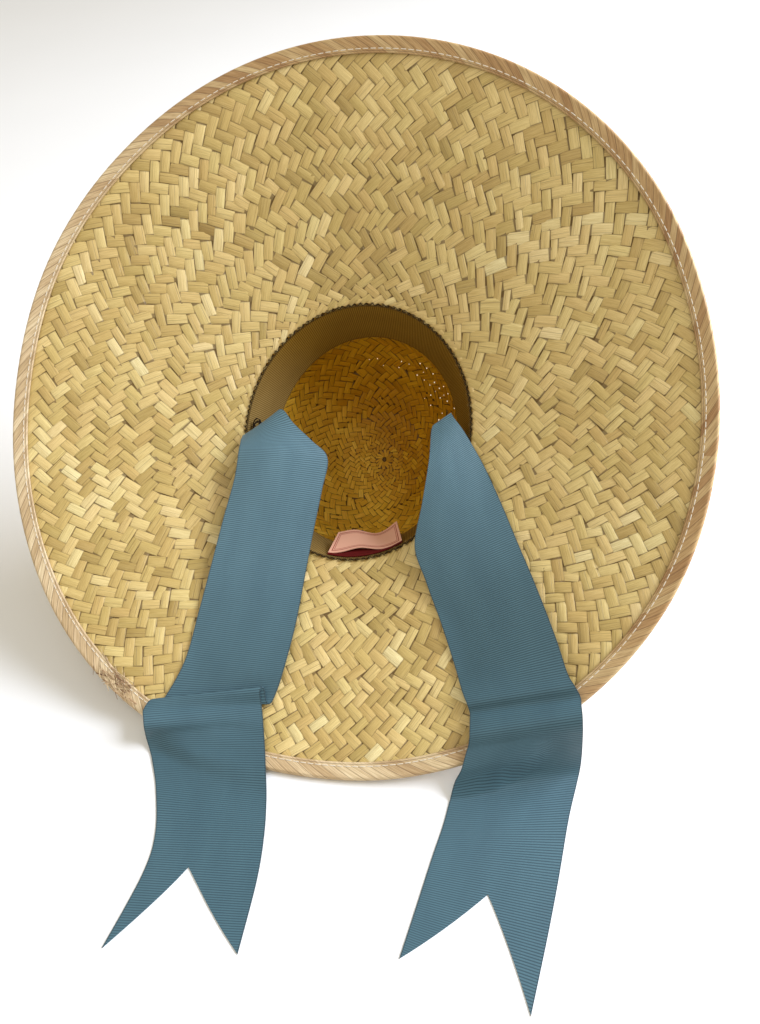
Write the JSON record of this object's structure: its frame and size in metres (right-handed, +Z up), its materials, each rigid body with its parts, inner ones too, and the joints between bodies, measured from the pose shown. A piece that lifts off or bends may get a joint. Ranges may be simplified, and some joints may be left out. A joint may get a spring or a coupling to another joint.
{
  "type": "sun hat",
  "caption": "Wide-brimmed woven palm-leaf sun hat lying on its crown, with a ribbed inner band and two long swallow-tailed ribbon ties.",
  "frame": {"origin": "middle of the hat's box, on the surface that it lies on", "axes": "+Z up; -Y towards the viewer, the way the open mouth and the tails of the ties face; +X to the viewer's right"},
  "size_m": [0.4984, 0.5502, 0.3347],
  "materials": {
    "palm_straw": "woven split palm leaf, satin",
    "straw_tape": "plaited straw tape, satin",
    "taupe_grosgrain": "ribbed grosgrain, matt",
    "pink_label": "woven label, satin",
    "teal_grosgrain": "ribbed grosgrain, soft sheen"
  },
  "bodies": {
    "root": {"crown": "palm_straw", "brim": "palm_straw", "brim_edge_binding": "straw_tape", "sweatband": "taupe_grosgrain", "back_label": "pink_label", "ribbon_left": "teal_grosgrain", "ribbon_right": "teal_grosgrain"}
  },
  "joints": []
}
